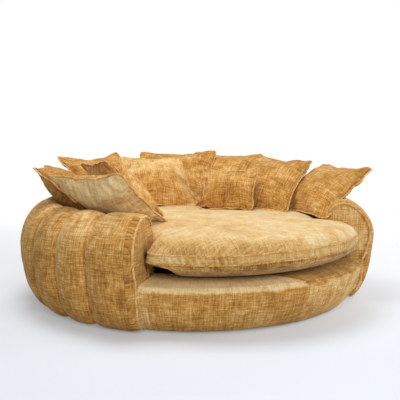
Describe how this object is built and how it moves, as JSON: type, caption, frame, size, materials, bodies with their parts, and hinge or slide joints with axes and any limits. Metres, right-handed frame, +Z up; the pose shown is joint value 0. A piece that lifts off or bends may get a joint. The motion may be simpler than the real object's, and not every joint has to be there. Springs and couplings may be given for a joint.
{
  "type": "cuddle chair",
  "caption": "Round upholstered cuddle chair with a channelled wrap-round arm and back, a crowned T-shaped seat cushion and loose scatter cushions that lift off.",
  "frame": {"origin": "centre of the underside of the centre foot, on the floor, on the upright axis of the round base", "axes": "+Z up; the open front of the seat faces -Y; +X is to the right for someone who looks at the front"},
  "size_m": [1.8248, 1.7715, 0.728],
  "materials": {
    "timber": "sawn softwood",
    "board": "plywood",
    "foam": "open-cell foam",
    "webbing": "woven elastic webbing",
    "dark_cloth": "non-woven lining cloth",
    "foot_finish": "dark stained",
    "chenille": "mustard-gold chenille with a heavy nap",
    "chenille_pale": "the same chenille with its nap laid towards the light",
    "zip": "coil zip"
  },
  "bodies": {
    "chair": {"base_ring": "board", "cross_rail_side_to_side": "timber", "cross_rail_front_to_back": "timber", "deck_ring": "board", "back_post_1": "timber", "back_post_2": "timber", "back_post_3": "timber", "back_post_4": "timber", "back_post_5": "timber", "back_post_6": "timber", "back_post_7": "timber", "back_post_8": "timber", "front_post_left": "timber", "front_post_right": "timber", "top_rail": "board", "inner_back_panel": "board", "outer_back_panel": "board", "front_panel": "board", "foot_1": "foot_finish", "foot_2": "foot_finish", "foot_3": "foot_finish", "foot_4": "foot_finish", "foot_5": "foot_finish", "foot_6": "foot_finish", "foot_centre": "foot_finish", "dust_cover": "dark_cloth", "webbing_across_1": "webbing", "webbing_across_2": "webbing", "webbing_across_3": "webbing", "webbing_across_4": "webbing", "webbing_along_1": "webbing", "webbing_along_2": "webbing", "webbing_along_3": "webbing", "webbing_along_4": "webbing", "deck_foam": "foam", "deck_cloth": "dark_cloth", "arm_foam": "foam", "inner_lining": "chenille", "outer_cover": "chenille", "facing_right": "chenille", "facing_left": "chenille", "front_rail_foam": "foam", "front_rail_cover": "chenille"},
    "seat_cushion": {"seat_cushion_cover": "chenille_pale", "seat_cushion_foam": "foam", "seat_cushion_zip": "zip"},
    "rear_left_cushion": {"cushion_rear_left": "chenille"},
    "rear_middle_cushion": {"cushion_rear_middle": "chenille"},
    "middle_cushion": {"cushion_middle": "chenille"},
    "rear_right_cushion": {"cushion_rear_right": "chenille"},
    "left_side_cushion": {"cushion_left_side": "chenille"},
    "left_arm_cushion": {"cushion_left_arm": "chenille"},
    "left_inner_cushion": {"cushion_left_inner": "chenille"},
    "right_arm_cushion": {"cushion_right_arm": "chenille"},
    "right_inner_cushion": {"cushion_right_inner": "chenille"},
    "small_front_cushion": {"cushion_small_front": "chenille"}
  },
  "joints": [
    {"name": "seat_lift", "type": "slide", "parent": "chair", "child": "seat_cushion", "axis": [0, 0, 1], "range_m": [0, 0.45]},
    {"name": "rear_left_lift", "type": "slide", "parent": "seat_cushion", "child": "rear_left_cushion", "axis": [0.2706, 0.6533, 0.7071], "range_m": [0, 0.45]},
    {"name": "rear_middle_lift", "type": "slide", "parent": "rear_left_cushion", "child": "rear_middle_cushion", "axis": [0.3492, 0.455, 0.8192], "range_m": [0, 0.45]},
    {"name": "middle_lift", "type": "slide", "parent": "rear_middle_cushion", "child": "middle_cushion", "axis": [0.0552, 0.419, 0.9063], "range_m": [0, 0.45]},
    {"name": "rear_right_lift", "type": "slide", "parent": "seat_cushion", "child": "rear_right_cushion", "axis": [0.6634, 0.383, 0.6428], "range_m": [0, 0.45]},
    {"name": "left_side_lift", "type": "slide", "parent": "seat_cushion", "child": "left_side_cushion", "axis": [-0.6209, -0.1664, 0.766], "range_m": [0, 0.45]},
    {"name": "left_arm_lift", "type": "slide", "parent": "left_side_cushion", "child": "left_arm_cushion", "axis": [-0.4545, -0.4545, 0.766], "range_m": [0, 0.45]},
    {"name": "left_inner_lift", "type": "slide", "parent": "seat_cushion", "child": "left_inner_cushion", "axis": [0, -0.7071, 0.7071], "range_m": [0, 0.45]},
    {"name": "right_arm_lift", "type": "slide", "parent": "seat_cushion", "child": "right_arm_cushion", "axis": [0.316, 0.1309, 0.9397], "range_m": [0, 0.45]},
    {"name": "right_inner_lift", "type": "slide", "parent": "right_arm_cushion", "child": "right_inner_cushion", "axis": [0.316, 0.1309, 0.9397], "range_m": [0, 0.45]},
    {"name": "small_front_lift", "type": "slide", "parent": "seat_cushion", "child": "small_front_cushion", "axis": [0, 0, 1], "range_m": [0, 0.45]}
  ]
}
